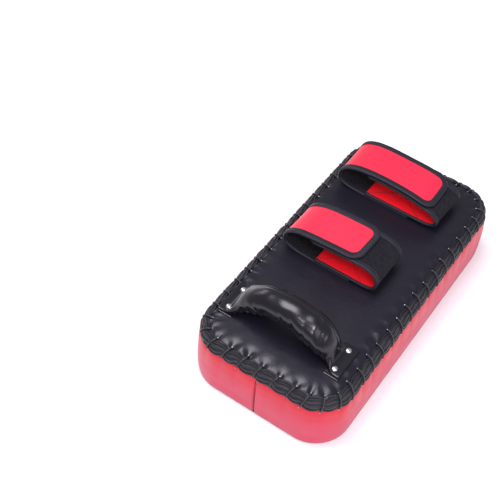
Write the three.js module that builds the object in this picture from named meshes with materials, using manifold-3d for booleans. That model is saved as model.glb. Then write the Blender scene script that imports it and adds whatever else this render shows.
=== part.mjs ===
// A Thai pad: the padded shield that a trainer wears on the forearm to catch kicks and punches. It lies
// on its striking face with the strapped back upwards. Millimetres, +Z up, +Y along the pad away from the
// hand grip, +X towards the side where the two forearm straps close. The origin is the centre of the
// striking face.
import * as THREE from "three";
import Module from "manifold-3d";
import { mergeVertices } from "three/addons/utils/BufferGeometryUtils.js";

const wasm = await Module();
wasm.setup();

// ---------------------------------------------------------------- driving dimensions

const GAP = 0.3; // clearance between pieces that touch on the real pad

const PAD = { length: 400, width: 200, cornerRadius: 46, backHeight: 80.5 };
const SKIN = 1.4; // artificial leather with its backing
const CORNER_STEPS = 6; // facets in each rounded corner

// The rolled rim where the back cover meets the side: a quarter ellipse about this centre.
const RIM = { inset: 11.6, z: 69, reachOut: 9, reachUp: 11.5, tape: 1.2 };

const LACE = { radius: 0.9, stitches: 52, slant: 6, clearance: 0.9, sides: 4 };

const STRAP = {
  width: 58,
  face: 1.0, // each of its two layers
  pressed: 0.4, // the hook or loop tape where it is sewn down flat
  bindingThickness: 0.6,
  bindingLip: 5.5,
  steps: 10, // stations along each strap, closer together near the fold
  bound: 37, // from the fold down to where the edge tape of the lower layer ends
  tipRadius: 14, // of the flap that closes on top
  keeperRadius: 6, // of the end underneath it
  foldGap: 0.8, // left at the fold between the sewn-down part and the part that opens
};

const GRIP = {
  centreX: -4,
  centreY: -131,
  tabReach: 80, // from the grip's middle to the outer end of each tab
  moving: 40, // to the line where it starts to flex
  tabZ: 84,
  tabHalfThickness: 1.5,
  coverThickness: 1.5,
  // The stuffed handle from end to end: [x, middle height, half width, half thickness].
  line: [[-84, 84, 22.5, 1.5], [-70, 84, 22.5, 1.5], [-66, 87.5, 21, 4], [-60, 95, 19.5, 8.5],
    [-53, 102, 18, 12], [-44, 108.5, 17.2, 14], [-30, 115, 16.6, 15], [-12, 119.2, 16.2, 15.6],
    [6, 118.5, 16.5, 16.2], [22, 114.2, 17.5, 17.2], [36, 107.6, 18.2, 16.6], [46, 101, 17.8, 14],
    [52, 94.5, 16, 10], [56, 89, 15.2, 5.8], [59.5, 85.4, 18.5, 2.6], [61.5, 84, 22, 1.5],
    [76, 84, 22, 1.5]],
};
const RIVET = {
  capRadius: 3.8,
  capHeight: 2.4,
  shank: 1.7,
  washerRadius: 3.6,
  spacing: 29,
  fromTabEnd: 10,
  sides: 10,
};
const PATCH = { length: 50, width: 20, thickness: 1.4, fromTabEnd: 9.8 };

// Each strap's place along the pad, and the middle line of its cross-section as [x, z] points.
const FOREARM_STRAP = {
  name: "forearm",
  y: 124.5,
  hook: [[-78, 98], [-76, 107], [-68, 114.5], [-55, 119], [-38, 121.3], [-15, 121.6], [8, 121.2],
    [24, 120], [36, 117.8], [46, 113.6]],
  loop: [[60.5, 100], [59.2, 104.4], [53.5, 107.5], [44, 109.2], [34, 111.8], [24, 114.4], [8, 116.3],
    [-8, 116.7], [-25, 116.7], [-42, 115.6]],
  hookBase: [[-78, 98], [-76.6, 91.5], [-71.5, 86.2], [-62, 83.7], [-52, 83], [-40, 82.4],
    [-25, 82.1], [22, 82.1]],
  loopBase: [[60.5, 100], [58.8, 95], [53.5, 89.5], [46, 86.2], [36, 85.3], [26, 85.3], [-42, 85.3]],
};
const WRIST_STRAP = {
  name: "wrist",
  y: -3,
  hook: [[-75.5, 98], [-73.5, 107], [-66, 115], [-54, 120], [-38, 122.4], [-18, 122.8], [4, 122.7],
    [21.5, 122.3]],
  loop: [[48.5, 98], [47.8, 106], [42, 114], [32, 117.4], [18, 118.1], [0, 118], [-14, 117.9],
    [-28, 117.6], [-41, 116.6]],
  hookBase: [[-75.5, 98], [-74.1, 91.5], [-69, 86.2], [-59.5, 83.7], [-49.5, 83], [-37, 82.4],
    [-23, 82.1], [16, 82.1]],
  loopBase: [[48.5, 98], [47.3, 92], [42.5, 87], [34, 85.2], [22, 85.3], [-35, 85.3]],
};

// ---------------------------------------------------------------- materials

const blackLeather = new THREE.MeshStandardMaterial({ color: 0x17161b, roughness: 0.42 });
const redLeather = new THREE.MeshStandardMaterial({ color: 0xd8152c, roughness: 0.4 });
const blackTape = new THREE.MeshStandardMaterial({ color: 0x1b1b20, roughness: 0.85 });
const blackPile = new THREE.MeshStandardMaterial({ color: 0x101013, roughness: 0.95 });
const laceCord = new THREE.MeshStandardMaterial({ color: 0x141417, roughness: 0.6 });
const foam = new THREE.MeshStandardMaterial({ color: 0x8d8d90, roughness: 0.9 });
const nickel = new THREE.MeshStandardMaterial({ color: 0xc9c9cc, roughness: 0.25, metalness: 1 });

// ---------------------------------------------------------------- surfaces from rows of points

// Triangles over one closed loop of points, in the loop's own turning direction.
function capTriangles(loop) {
  const normal = new THREE.Vector3();
  loop.forEach((p, i) => normal.add(p.clone().cross(loop[(i + 1) % loop.length])));
  normal.normalize();
  const across = new THREE.Vector3().subVectors(loop[1], loop[0]).normalize();
  const up = new THREE.Vector3().crossVectors(normal, across);
  const flat = loop.map((p) => new THREE.Vector2(p.dot(across), p.dot(up)));
  return THREE.ShapeUtils.triangulateShape(flat, []).map(([a, b, c]) => {
    const turn = flat[b].clone().sub(flat[a]).cross(flat[c].clone().sub(flat[a]));
    return turn > 0 ? [a, b, c] : [a, c, b];
  });
}

// A closed body through loops that all have the same number of points. With `ring` the last loop joins
// the first; otherwise both ends are capped. The faces are turned outwards whichever way the loops run.
function loft(loops, ring = false) {
  const count = loops[0].length;
  const points = loops.flat();
  const faces = [];
  for (let i = 0; i < (ring ? loops.length : loops.length - 1); i++) {
    const near = i * count;
    const far = ((i + 1) % loops.length) * count;
    for (let j = 0; j < count; j++) {
      const next = (j + 1) % count;
      faces.push([near + j, near + next, far + next], [near + j, far + next, far + j]);
    }
  }
  if (!ring) {
    const last = points.length - count;
    capTriangles(loops[0]).forEach(([a, b, c]) => faces.push([a, c, b]));
    capTriangles(loops.at(-1)).forEach(([a, b, c]) => faces.push([last + a, last + b, last + c]));
  }
  const volume = faces.reduce(
    (sum, [a, b, c]) => sum + points[a].dot(points[b].clone().cross(points[c])),
    0,
  );
  const index = faces.flatMap(([a, b, c]) => (volume > 0 ? [a, b, c] : [a, c, b]));
  const geometry = new THREE.BufferGeometry().setFromPoints(points).setIndex(index);
  geometry.computeVertexNormals();
  return geometry;
}

// ---------------------------------------------------------------- booleans

function solid(geometry) {
  const bare = new THREE.BufferGeometry().setAttribute("position", geometry.getAttribute("position"));
  bare.setIndex(geometry.index);
  const merged = mergeVertices(bare, 1e-3);
  return new wasm.Manifold(
    new wasm.Mesh({
      numProp: 3,
      vertProperties: merged.getAttribute("position").array,
      triVerts: new Uint32Array(merged.index.array),
    }),
  );
}

function geometryOf(body) {
  const mesh = body.getMesh();
  const geometry = new THREE.BufferGeometry();
  geometry.setAttribute("position", new THREE.BufferAttribute(mesh.vertProperties, 3));
  geometry.setIndex(new THREE.BufferAttribute(mesh.triVerts, 1));
  geometry.computeVertexNormals();
  return geometry;
}

// ---------------------------------------------------------------- the pad's outline

const radians = THREE.MathUtils.degToRad;

// Stations round the outline: each has the centre that it turns about and its outward angle.
function arcStations(signX, signY, startDegrees) {
  const x = signX * (PAD.width / 2 - PAD.cornerRadius);
  const y = signY * (PAD.length / 2 - PAD.cornerRadius);
  return Array.from({ length: CORNER_STEPS + 1 }, (_, i) => ({
    x,
    y,
    angle: radians(startDegrees + (90 * i) / CORNER_STEPS),
  }));
}

function endStation(side, x = 0) {
  return { x, y: side * (PAD.length / 2 - PAD.cornerRadius), angle: (side * Math.PI) / 2 };
}

const RIGHT_HALF = [...arcStations(1, -1, -90), ...arcStations(1, 1, 0)];
const LEFT_HALF = [...arcStations(-1, 1, 90), ...arcStations(-1, -1, 180)];
const ALL_ROUND = [endStation(-1), ...RIGHT_HALF, endStation(1), ...LEFT_HALF];

function pointAt(station, inset, z) {
  const reach = PAD.cornerRadius - inset;
  return new THREE.Vector3(
    station.x + Math.cos(station.angle) * reach,
    station.y + Math.sin(station.angle) * reach,
    z,
  );
}

const outline = (inset, z) => ALL_ROUND.map((station) => pointAt(station, inset, z));
const stackedOutlines = (levels) => loft(levels.map(([inset, z]) => outline(inset, z)));
const sweptSection = (stations, section, ring) =>
  loft(stations.map((station) => section.map(([inset, z]) => pointAt(station, inset, z))), ring);

// A point of a quarter ellipse about the rim's centre: 0 degrees is outwards, 90 is up.
function rimPoint(degrees, grow) {
  const angle = radians(degrees);
  return [
    RIM.inset - Math.cos(angle) * (RIM.reachOut + grow),
    RIM.z + Math.sin(angle) * (RIM.reachUp + grow),
  ];
}

// ---------------------------------------------------------------- parts of the group

const part = new THREE.Group();
part.name = "thai_pad";

function addPart(name, geometry, material) {
  const mesh = new THREE.Mesh(geometry, material);
  mesh.name = name;
  part.add(mesh);
  return mesh;
}

// ---------------------------------------------------------------- foam and covers

// The side band's outer face as [inset, z], from the striking face up to the rim.
const SIDE = [[1.2, 3.3], [0.4, 10], [0, 28], [0.7, 48], [1.8, 65]];

function addFoam() {
  addPart("strike_foam", stackedOutlines([[7, 2], [3.2, 6], [3.2, 24]]), foam);
  addPart("core_foam", stackedOutlines([[3.2, 24 + GAP], [3.2, 56]]), foam);
  addPart(
    "back_foam",
    stackedOutlines([[4, 56 + GAP], [4, 62.5], [10.4, 68.2], [12.8, 73], [17.4, 74.6], [19.4, 77.4]]),
    foam,
  );
}

function addCovers() {
  const lip = [[6, 0], [3, 1], [1.2, 3], [1.2 + SKIN, 3], [4.4, 1.6]];
  addPart("strike_cover", stackedOutlines(lip), blackLeather);

  const inner = SIDE.map(([inset, z]) => [inset + SKIN, z]).reverse();
  const section = [...SIDE, ...inner];
  const ends = (x) => [endStation(-1, x), endStation(1, x)];
  const [rightStart, rightEnd] = ends(GAP / 2);
  const [leftEnd, leftStart] = ends(-GAP / 2);
  addPart("side_band_right", sweptSection([rightStart, ...RIGHT_HALF, rightEnd], section), redLeather);
  addPart("side_band_left", sweptSection([leftStart, ...LEFT_HALF, leftEnd], section), redLeather);

  const skirt = [[7.4, 69], [8, 72.2], [9.6, 74.6], [12, 75.6], [15, 76.3], [16.6, PAD.backHeight]];
  const lining = [[8.8, 69], [9.3, 71.6], [10.5, 73.3], [12.6, 74.2], [16.2, 75.0],
    [18, PAD.backHeight - SKIN]];
  const cover = solid(stackedOutlines([...lining.reverse(), ...skirt]));
  addPart("back_cover", geometryOf(withRivetHoles(cover)), blackLeather);
}

function addRim() {
  const angles = [90, 68, 45, 22, 0];
  const section = [
    ...angles.map((angle) => rimPoint(angle, 0)),
    ...angles.map((angle) => rimPoint(angle, -RIM.tape)).reverse(),
  ];
  addPart("rim_tape", sweptSection(ALL_ROUND, section, true), blackTape);
}

const STRAIGHT_X = PAD.width - 2 * PAD.cornerRadius;
const STRAIGHT_Y = PAD.length - 2 * PAD.cornerRadius;
const ARC = ((PAD.cornerRadius - RIM.inset + RIM.reachOut) * Math.PI) / 2;
const ROUND = 2 * (STRAIGHT_X + STRAIGHT_Y) + 4 * ARC;

// The straights and corners round the rim as [length, station at a distance along it], from the middle of
// the hand grip's end.
const RUNS = (() => {
  const x = STRAIGHT_X / 2;
  const y = STRAIGHT_Y / 2;
  const corner = (centreX, centreY, start) => [
    ARC,
    (t) => ({ x: centreX, y: centreY, angle: radians(start + (90 * t) / ARC) }),
  ];
  return [
    [x, (t) => ({ x: t, y: -y, angle: radians(-90) })],
    corner(x, -y, -90),
    [STRAIGHT_Y, (t) => ({ x, y: t - y, angle: 0 })],
    corner(x, y, 0),
    [STRAIGHT_X, (t) => ({ x: x - t, y, angle: radians(90) })],
    corner(-x, y, 90),
    [STRAIGHT_Y, (t) => ({ x: -x, y: y - t, angle: radians(180) })],
    corner(-x, -y, 180),
    [x, (t) => ({ x: t - x, y: -y, angle: radians(-90) })],
  ];
})();

function stationAt(distance) {
  let left = ((distance % ROUND) + ROUND) % ROUND;
  for (const [length, station] of RUNS) {
    if (left <= length) return station(left);
    left -= length;
  }
  return RUNS[0][1](0);
}

// The lace runs round and round the rim tape: over it, under its lower edge, and forward inside it.
function addLace() {
  const over = LACE.clearance + LACE.radius;
  const under = -RIM.tape - LACE.clearance - LACE.radius;
  const pitch = ROUND / LACE.stitches;
  // One stitch: [distance along the rim, [inset, z]].
  const stitch = [
    [0, rimPoint(94, over)],
    [-LACE.slant * 0.33, rimPoint(62, over)],
    [-LACE.slant * 0.67, rimPoint(28, over)],
    [-LACE.slant, rimPoint(-4, over)],
    [-LACE.slant, [4.6, 66.6]],
    [-LACE.slant + 3, rimPoint(16, under - 0.3)],
    [pitch * 0.45, rimPoint(50, under)],
    [pitch - 3, rimPoint(84, under)],
    [pitch - 0.5, [14.1, 79.8]],
  ];
  const path = [];
  for (let i = 0; i < LACE.stitches; i++) {
    for (const [along, [inset, z]] of stitch) {
      path.push(pointAt(stationAt(i * pitch + along), inset, z));
    }
  }

  const normal = new THREE.Vector3(0, 0, 1);
  const rings = path.map((point, i) => {
    const before = path[(i + path.length - 1) % path.length];
    const after = path[(i + 1) % path.length];
    const tangent = after.clone().sub(before).normalize();
    normal.addScaledVector(tangent, -normal.dot(tangent)).normalize();
    const side = new THREE.Vector3().crossVectors(tangent, normal);
    return Array.from({ length: LACE.sides }, (_, k) => {
      const turn = (2 * Math.PI * k) / LACE.sides;
      return point
        .clone()
        .addScaledVector(normal, Math.cos(turn) * LACE.radius)
        .addScaledVector(side, Math.sin(turn) * LACE.radius);
    });
  });
  addPart("rim_lace", loft(matchedRing(rings), true), laceCord);
}

// Turns each ring's starting corner so that the walls between rings don't twist.
function matchedRing(rings) {
  const spread = (a, b, shift) =>
    a.reduce((sum, p, k) => sum + p.distanceTo(b[(k + shift) % b.length]), 0);
  for (let i = 1; i < rings.length; i++) {
    const shifts = rings[i].map((_, shift) => shift);
    const best = shifts.reduce((low, shift) =>
      spread(rings[i - 1], rings[i], shift) < spread(rings[i - 1], rings[i], low) ? shift : low,
    );
    rings[i] = rings[i].map((_, k) => rings[i][(k + best) % rings[i].length]);
  }
  return rings;
}

// ---------------------------------------------------------------- hand grip

const RIVET_PLACES = [
  { name: "left_front", side: -1, along: -1 },
  { name: "left_rear", side: -1, along: 1 },
  { name: "right_front", side: 1, along: -1 },
  { name: "right_rear", side: 1, along: 1 },
].map((place) => ({
  ...place,
  x: GRIP.centreX + place.side * (GRIP.tabReach - RIVET.fromTabEnd),
  y: GRIP.centreY + (place.along * RIVET.spacing) / 2,
}));

// The same body with a clearance hole for each rivet's shank.
function withRivetHoles(body) {
  for (const { x, y } of RIVET_PLACES) {
    const drill = new THREE.CylinderGeometry(RIVET.shank + GAP, RIVET.shank + GAP, 30, RIVET.sides);
    drill.rotateX(Math.PI / 2).translate(x, y, GRIP.tabZ);
    body = body.subtract(solid(drill));
  }
  return body;
}

function addRivets() {
  const { capRadius, capHeight, shank, washerRadius, sides } = RIVET;
  const top = GRIP.tabZ + GRIP.tabHalfThickness + GAP;
  const washerZ = PAD.backHeight - SKIN - GAP;
  for (const { name, x, y } of RIVET_PLACES) {
    const profile = [
      [0, washerZ - 1.1], [shank, washerZ - 1.1], [shank, top], [capRadius, top],
      [capRadius, top + 0.7], [capRadius * 0.72, top + capHeight * 0.85], [0, top + capHeight],
    ].map(([radius, z]) => new THREE.Vector2(radius, z));
    const rivet = new THREE.LatheGeometry(profile, sides).rotateX(Math.PI / 2);
    addPart(`rivet_${name}`, rivet, nickel).position.set(x, y, 0);

    const ring = [
      [shank + GAP, washerZ - 0.8], [washerRadius, washerZ - 0.8], [washerRadius, washerZ],
      [shank + GAP, washerZ], [shank + GAP, washerZ - 0.8],
    ].map(([radius, z]) => new THREE.Vector2(radius, z));
    const washer = new THREE.LatheGeometry(ring, sides).rotateX(Math.PI / 2);
    addPart(`rivet_washer_${name}`, washer, nickel).position.set(x, y, 0);
  }
}

// The grip's middle height, half width and half thickness at x.
function gripAt(x) {
  const next = GRIP.line.findIndex(([at]) => at >= x);
  const to = GRIP.line[Math.max(1, next < 0 ? GRIP.line.length - 1 : next)];
  const from = GRIP.line[GRIP.line.indexOf(to) - 1];
  const share = THREE.MathUtils.clamp((x - from[0]) / (to[0] - from[0]), 0, 1);
  return from.slice(1).map((value, i) => THREE.MathUtils.lerp(value, to[i + 1], share));
}

// The grip's cross-section at x: flat in the tabs, nearly round in the middle.
function gripSection(x, shrink = 0, count = 12) {
  const [height, halfWidth, halfThickness] = gripAt(x);
  const round = THREE.MathUtils.smoothstep(halfThickness, GRIP.tabHalfThickness, 10);
  const power = THREE.MathUtils.lerp(0.28, 1, round);
  const bulge = (v) => Math.sign(v) * Math.abs(v) ** power;
  return Array.from({ length: count }, (_, k) => {
    const turn = (2 * Math.PI * (k + 0.5)) / count;
    return new THREE.Vector3(
      x,
      GRIP.centreY + bulge(Math.cos(turn)) * (halfWidth - shrink),
      height + bulge(Math.sin(turn)) * (halfThickness - shrink),
    );
  });
}

function addGrip() {
  const { centreX, tabReach, moving, coverThickness, line } = GRIP;
  const left = centreX - moving;
  const right = centreX + moving;
  const bends = line.map(([x]) => x);
  const middle = [left + GAP, ...bends.filter((x) => x > left + 1 && x < right - 1), right - GAP];

  const sleeve = solid(loft(middle.map((x) => gripSection(x))));
  const ends = [middle[0] - 1, ...middle, middle.at(-1) + 1];
  const hollow = solid(loft(ends.map((x) => gripSection(x, coverThickness))));
  addPart("grip_sleeve", geometryOf(sleeve.subtract(hollow)), blackLeather);
  addPart("grip_core", loft(middle.map((x) => gripSection(x, coverThickness + GAP))), foam);

  const legs = {
    left: { side: -1, stations: [...bends.filter((x) => x < left - 1), left] },
    right: { side: 1, stations: [right, ...bends.filter((x) => x > right + 1)] },
  };
  for (const [name, { side, stations }] of Object.entries(legs)) {
    const leg = solid(loft(stations.map((x) => gripSection(x))));
    addPart(`grip_tab_${name}`, geometryOf(withRivetHoles(leg)), blackLeather);

    const { length, width, thickness, fromTabEnd } = PATCH;
    const plate = new THREE.BoxGeometry(width, length, thickness);
    const plateX = centreX + side * (tabReach - fromTabEnd);
    plate.translate(plateX, GRIP.centreY, PAD.backHeight + GAP + thickness / 2);
    addPart(`grip_patch_${name}`, geometryOf(withRivetHoles(solid(plate))), blackLeather);
  }
}

// ---------------------------------------------------------------- forearm straps

// A strap laid along a curve in the XZ plane. `outward` is 1 or -1, whichever turns the curve's left to
// the outside of the loop. place(s, y, t) is the point at s along it, y across it and t out of its middle.
function strapPath(points, centreY, outward) {
  const curve = new THREE.CatmullRomCurve3(points.map(([x, z]) => new THREE.Vector3(x, 0, z)));
  const length = curve.getLength();
  const stations = (end) =>
    Array.from({ length: STRAP.steps + 1 }, (_, i) =>
      THREE.MathUtils.lerp(STRAP.foldGap, end, (i / STRAP.steps) ** 1.3),
    );
  const place = (s, y, t) => {
    const u = THREE.MathUtils.clamp(s / length, 0, 1);
    const point = curve.getPointAt(u);
    const tangent = curve.getTangentAt(u);
    return new THREE.Vector3(
      point.x - outward * tangent.z * t,
      centreY + y,
      point.z + outward * tangent.x * t,
    );
  };
  return { length, stations, place };
}

const TIP_TURNS = [30, 60, 85];

// How far a layer reaches to each side at a distance past the start of its rounded tip.
function reachAcross(past, radius, halfWidth) {
  return past <= 0 ? halfWidth : halfWidth - radius + Math.sqrt(radius ** 2 - past ** 2);
}

// One layer of a strap, between the heights low and high out of its middle line.
function strapLayer(path, low, high, tipRadius = 0) {
  const edge = STRAP.bindingThickness + GAP;
  const halfWidth = STRAP.width / 2 - edge;
  const radius = Math.max(0, tipRadius - edge);
  const straight = path.length - Math.max(tipRadius, edge);
  const stations = path.stations(straight);
  if (radius > 0) stations.push(...TIP_TURNS.map((turn) => straight + radius * Math.sin(radians(turn))));
  return loft(
    stations.map((s) => {
      const across = reachAcross(s - straight, radius, halfWidth);
      return [[-across, low], [across, low], [across, high], [-across, high]].map(([y, t]) =>
        path.place(s, y, t),
      );
    }),
  );
}

// The edge tape's section as [in from the strap's edge, out of its middle line].
function bindingSection() {
  const inner = STRAP.face + GAP / 2 + GAP;
  const outer = inner + STRAP.bindingThickness;
  const edge = STRAP.bindingThickness;
  const lip = STRAP.bindingLip;
  return [[0, -outer], [lip, -outer], [lip, -inner], [edge, -inner], [edge, inner], [lip, inner],
    [lip, outer], [0, outer]];
}

// The edge tape along both sides of a strap and round its tip.
function strapBinding(path, tipRadius) {
  const half = STRAP.width / 2;
  const edge = [
    ...path.stations(path.length - tipRadius).map((s) => ({ s, y: -half, inS: 0, inY: 1 })),
    ...[...TIP_TURNS, 90].map((degrees) => {
      const turn = radians(degrees);
      return {
        s: path.length - tipRadius * (1 - Math.sin(turn)),
        y: -half + tipRadius * (1 - Math.cos(turn)),
        inS: -Math.sin(turn),
        inY: Math.cos(turn),
      };
    }),
  ];
  const mirrored = edge.map(({ s, y, inS, inY }) => ({ s, y: -y, inS, inY: -inY })).reverse();
  return loft(
    [...edge, ...mirrored].map(({ s, y, inS, inY }) =>
      bindingSection().map(([inward, t]) => path.place(s + inS * inward, y + inY * inward, t)),
    ),
  );
}

// The edge tape along one side only, for the sewn-down end, whose cut edge isn't bound.
function sideBinding(path, side, end = path.length) {
  const stations = path.stations(path.length - STRAP.bindingThickness - GAP);
  return loft(
    stations.filter((s) => s <= end).map((s) =>
      bindingSection().map(([inward, t]) => path.place(s, side * (STRAP.width / 2 - inward), t)),
    ),
  );
}

function addStrap({ name, y, hook, loop, hookBase, loopBase }) {
  const near = GAP / 2;
  const far = near + STRAP.face;
  const tip = STRAP.tipRadius;

  const flap = strapPath(hook, y, 1);
  addPart(`${name}_hook_face`, strapLayer(flap, near, far, tip), redLeather);
  addPart(`${name}_hook_tape`, strapLayer(flap, -far, -near, tip), blackPile);
  addPart(`${name}_hook_binding`, strapBinding(flap, tip), blackTape);

  const keeper = strapPath(loop, y, -1);
  addPart(`${name}_loop_tape`, strapLayer(keeper, near, far, STRAP.keeperRadius), blackPile);
  addPart(`${name}_loop_lining`, strapLayer(keeper, -far, -near, STRAP.keeperRadius), redLeather);
  addPart(`${name}_loop_binding`, strapBinding(keeper, STRAP.keeperRadius), blackTape);

  const hookFoot = strapPath(hookBase, y, -1);
  addPart(`${name}_foot_face`, strapLayer(hookFoot, near, far), redLeather);
  addPart(`${name}_foot_tape`, strapLayer(hookFoot, -near - STRAP.pressed, -near), blackPile);
  addPart(`${name}_foot_binding_front`, sideBinding(hookFoot, -1, STRAP.bound), blackTape);
  addPart(`${name}_foot_binding_rear`, sideBinding(hookFoot, 1, STRAP.bound), blackTape);

  const loopFoot = strapPath(loopBase, y, 1);
  addPart(`${name}_base_tape`, strapLayer(loopFoot, near, near + STRAP.pressed), blackPile);
  addPart(`${name}_base_lining`, strapLayer(loopFoot, -far, -near), redLeather);
  addPart(`${name}_base_binding_front`, sideBinding(loopFoot, -1), blackTape);
  addPart(`${name}_base_binding_rear`, sideBinding(loopFoot, 1), blackTape);
}

addFoam();
addCovers();
addRim();
addLace();
addRivets();
addGrip();
addStrap(FOREARM_STRAP);
addStrap(WRIST_STRAP);

export default part;
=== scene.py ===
"""A Thai pad lying on its striking face, with its forearm straps and hand grip upwards.

The shapes below are given in millimetres in the part's own frame, and are turned into metres by MM.
"""

import math

import bmesh
import bpy
import numpy as np
from mathutils import Matrix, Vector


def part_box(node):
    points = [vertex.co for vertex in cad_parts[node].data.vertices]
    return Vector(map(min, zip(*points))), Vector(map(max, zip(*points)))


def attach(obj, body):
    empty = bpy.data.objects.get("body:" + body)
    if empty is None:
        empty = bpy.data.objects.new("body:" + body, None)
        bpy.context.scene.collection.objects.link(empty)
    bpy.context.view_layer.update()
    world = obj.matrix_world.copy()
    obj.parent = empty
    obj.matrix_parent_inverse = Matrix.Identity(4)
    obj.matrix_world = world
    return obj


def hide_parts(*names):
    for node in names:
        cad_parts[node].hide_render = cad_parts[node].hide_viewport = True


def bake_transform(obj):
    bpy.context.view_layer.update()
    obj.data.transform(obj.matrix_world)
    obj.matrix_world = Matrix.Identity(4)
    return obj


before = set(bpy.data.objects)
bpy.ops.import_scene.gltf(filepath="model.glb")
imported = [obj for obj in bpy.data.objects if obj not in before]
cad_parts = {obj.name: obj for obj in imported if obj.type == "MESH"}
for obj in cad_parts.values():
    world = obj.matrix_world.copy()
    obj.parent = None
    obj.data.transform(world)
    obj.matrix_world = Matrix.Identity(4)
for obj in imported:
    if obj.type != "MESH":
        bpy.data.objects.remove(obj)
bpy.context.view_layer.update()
MM = 0.001
TURN = 2.0 * math.pi

# ---------------------------------------------------------------- driving dimensions

PAD_HALF_WIDTH = 100.0
PAD_HALF_LENGTH = 200.0
CORNER = 46.0
RIM_INSET = 11.6  # the rolled rim's centre, in from the outline
RIM_Z = 69.0
RIM_OUT = 9.0  # the rim's half axes, outwards and upwards
RIM_UP = 11.5

STITCHES = 52
LACE_RADIUS = 0.85
LACE_SLANT = 6.0  # how far each stitch steps back round the rim on its way to the side
TAPE_WIDTH = 20.0
TAPE_RIBS = 4.5  # across the tape's width

STRAP_HALF = 29.0
STRAP_LAYER = 1.0
BINDING_BULGE = 0.75

GRIP_Y = -131.0
GRIP_MIDDLE = -4.0

rng = np.random.default_rng(11)


# ---------------------------------------------------------------- mesh helpers


def smoothstep(low, high, x):
    t = np.clip((x - low) / (high - low), 0.0, 1.0)
    return t * t * (3.0 - 2.0 * t)


def make_object(name, verts, faces, material, uv=None):
    """A smooth mesh object from points in mm, with its faces turned away from the pad's middle."""
    verts = np.asarray(verts, float)
    faces = np.asarray(faces)
    corner = verts[faces]
    middle = np.array([0.0, 0.0, 40.0])
    normal = np.cross(corner[:, 2] - corner[:, 0], corner[:, 3] - corner[:, 1])
    if np.einsum("ij,ij->", corner.mean(axis=1) - middle, normal) < 0:
        faces = faces[:, ::-1]
        uv = None if uv is None else uv[:, ::-1]
    mesh = bpy.data.meshes.new(name)
    mesh.from_pydata((verts * MM).tolist(), [], faces.tolist())
    if uv is not None:
        layer = mesh.uv_layers.new(name="UVMap")
        layer.data.foreach_set("uv", np.ascontiguousarray(uv, dtype=np.float32).ravel())
    mesh.polygons.foreach_set("use_smooth", [True] * len(mesh.polygons))
    mesh.materials.append(material)
    obj = bpy.data.objects.new(name, mesh)
    bpy.context.scene.collection.objects.link(obj)
    return obj


def merge_close(obj, distance=1e-5):
    """Closes a mesh where rows of its points fall together."""
    work = bmesh.new()
    work.from_mesh(obj.data)
    bmesh.ops.remove_doubles(work, verts=work.verts, dist=distance)
    work.to_mesh(obj.data)
    work.free()
    return obj


def quads(rows, cols, wrap_rows, wrap_cols):
    i, j = np.meshgrid(
        np.arange(rows if wrap_rows else rows - 1),
        np.arange(cols if wrap_cols else cols - 1),
        indexing="ij",
    )
    around = [(i, j), (i + 1, j), (i + 1, j + 1), (i, j + 1)]
    faces = np.stack([(a % rows) * cols + b % cols for a, b in around], axis=-1)
    return faces.reshape(-1, 4), around


def grid_object(name, points, material, wrap_rows=False, wrap_cols=False, along=None, across=None):
    """A surface through a grid of points. along and across are the rows' and columns' places in mm, for the
    weave; each has one more entry than the grid in a direction that wraps."""
    rows, cols = points.shape[:2]
    faces, around = quads(rows, cols, wrap_rows, wrap_cols)
    uv = None
    if along is not None:
        uv = np.stack([np.stack([along[a], across[b]], axis=-1) for a, b in around], axis=2)
        uv = uv.reshape(-1, 4, 2) * MM
    return make_object(name, points.reshape(-1, 3), faces, material, uv)


def with_end_caps(points):
    """Adds a closing point, as a row of its own, at each end of a tube of rings."""
    first = np.broadcast_to(points[0].mean(axis=0), points[0].shape)
    last = np.broadcast_to(points[-1].mean(axis=0), points[-1].shape)
    return np.concatenate([first[None], points, last[None]])


def joined(name, grids, material, wrap_rows=False, wrap_cols=False):
    """One object from several separate grids of points."""
    verts = []
    faces = []
    start = 0
    for points in grids:
        quad, _ = quads(*points.shape[:2], wrap_rows, wrap_cols)
        verts.append(points.reshape(-1, 3))
        faces.append(quad + start)
        start += points.shape[0] * points.shape[1]
    return merge_close(make_object(name, np.concatenate(verts), np.concatenate(faces), material))


def smooth_line(points, step=1.0, window=9.0):
    """A line of evenly spaced points that rounds off the corners of a polyline."""
    points = np.asarray(points, float)
    length = np.concatenate([[0.0], np.cumsum(np.linalg.norm(np.diff(points, axis=0), axis=1))])
    count = int(length[-1] / step) + 1
    at = np.linspace(0.0, length[-1], count)
    line = np.stack([np.interp(at, length, points[:, k]) for k in range(points.shape[1])], axis=1)
    width = max(3, int(window / step) | 1)
    kernel = np.ones(width) / width
    pad = width // 2
    for _ in range(3):
        before = 2 * line[0] - line[pad:0:-1]
        after = 2 * line[-1] - line[-2 : -pad - 2 : -1]
        padded = np.concatenate([before, line, after])
        line = np.stack([np.convolve(padded[:, k], kernel, "valid") for k in range(line.shape[1])], axis=1)
    return line


def tube(path, radius, sides=8):
    """Rings round a path of points. radius is a number, or one for each point."""
    path = np.asarray(path, float)
    tangent = np.gradient(path, axis=0)
    tangent /= np.linalg.norm(tangent, axis=1)[:, None]
    normal = np.zeros_like(path)
    current = np.cross(tangent[0], [0.3, 0.5, 0.81])
    for k, direction in enumerate(tangent):
        current = current - direction * current.dot(direction)
        current /= np.linalg.norm(current)
        normal[k] = current
    side = np.cross(tangent, normal)
    turn = np.linspace(0.0, TURN, sides, endpoint=False)
    ring = normal[:, None] * np.cos(turn)[None, :, None] + side[:, None] * np.sin(turn)[None, :, None]
    return path[:, None] + ring * np.broadcast_to(radius, len(path))[:, None, None]


# ---------------------------------------------------------------- materials


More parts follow.
